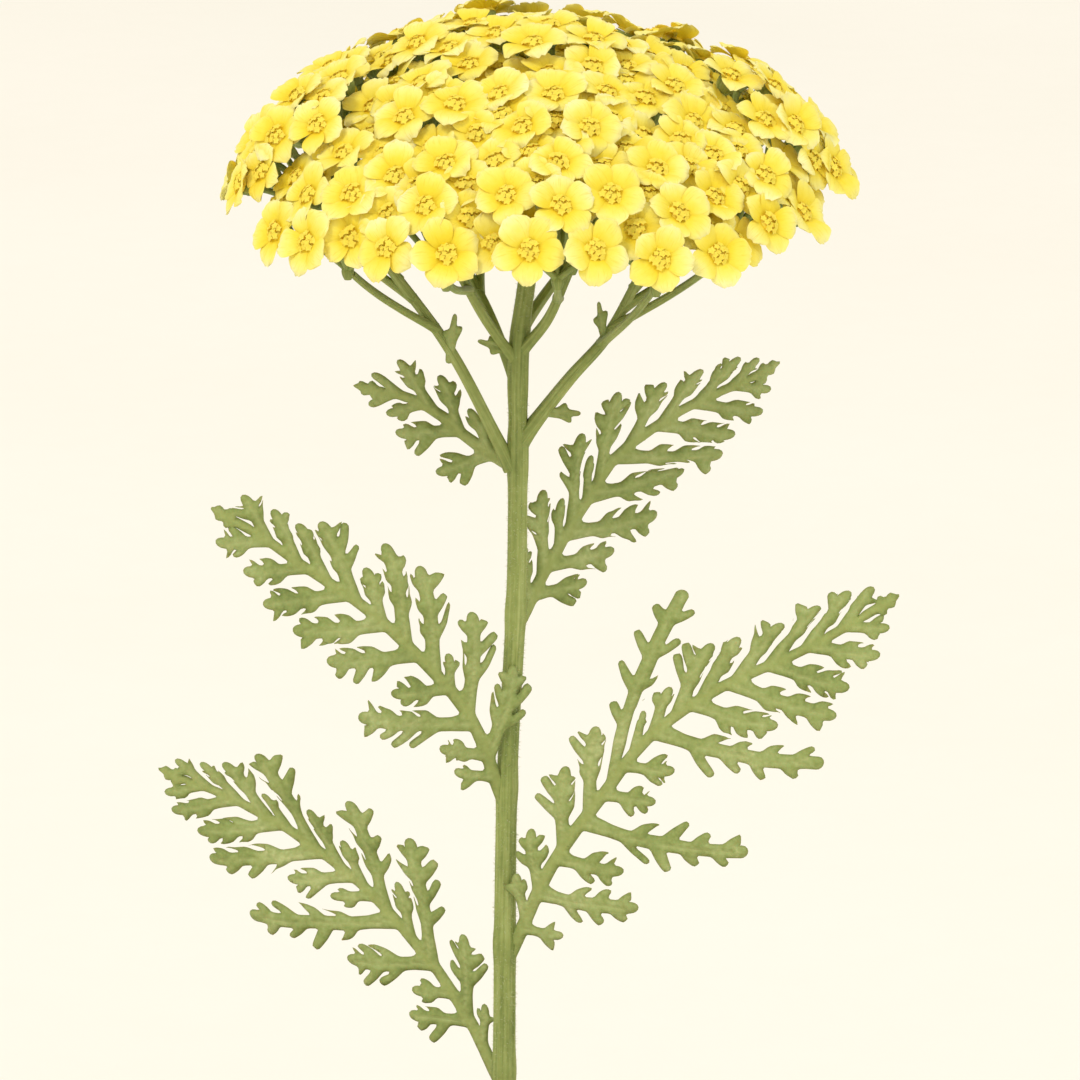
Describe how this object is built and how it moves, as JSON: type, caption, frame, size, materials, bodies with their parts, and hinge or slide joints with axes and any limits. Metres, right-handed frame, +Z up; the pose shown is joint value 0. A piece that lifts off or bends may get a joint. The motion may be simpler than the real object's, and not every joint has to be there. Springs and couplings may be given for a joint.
{
  "type": "potted yarrow",
  "caption": "Flowering yarrow in a plain round clay pot: one leafy stem with feathery leaves under a domed head of small yellow blooms.",
  "frame": {"origin": "centre of the pot's flat base, on the surface it stands on", "axes": "+Z up along the stem, -Y towards the viewer of the plant's front, +X to the viewer's right"},
  "size_m": [0.133, 0.1267, 0.3101],
  "materials": {
    "pot": "matte",
    "soil": "matte",
    "stem": "matte",
    "stalks": "matte",
    "leaf": "matte",
    "bloom": "matte"
  },
  "bodies": {
    "root": {"pot": "pot", "soil": "soil", "stem": "stem", "leaf_1": "leaf", "leaf_2": "leaf", "leaf_3": "leaf", "leaf_4": "leaf", "leaf_5": "leaf", "basal_leaf_1": "leaf", "basal_leaf_2": "leaf", "basal_leaf_3": "leaf", "basal_leaf_4": "leaf", "basal_leaf_5": "leaf", "stalks_01": "stalks", "blooms_01": "bloom", "stalks_02": "stalks", "blooms_02": "bloom", "stalks_03": "stalks", "blooms_03": "bloom", "stalks_04": "stalks", "blooms_04": "bloom", "stalks_05": "stalks", "blooms_05": "bloom", "stalks_06": "stalks", "blooms_06": "bloom", "stalks_07": "stalks", "blooms_07": "bloom", "stalks_08": "stalks", "blooms_08": "bloom", "stalks_09": "stalks", "blooms_09": "bloom", "stalks_10": "stalks", "blooms_10": "bloom", "stalks_11": "stalks", "blooms_11": "bloom", "stalks_12": "stalks", "blooms_12": "bloom", "stalks_13": "stalks", "blooms_13": "bloom", "stalks_14": "stalks", "blooms_14": "bloom", "stalks_15": "stalks", "blooms_15": "bloom", "stalks_16": "stalks", "blooms_16": "bloom", "stalks_17": "stalks", "blooms_17": "bloom", "stalks_18": "stalks", "blooms_18": "bloom", "stalks_19": "stalks", "blooms_19": "bloom", "stalks_20": "stalks", "blooms_20": "bloom"}
  },
  "joints": []
}
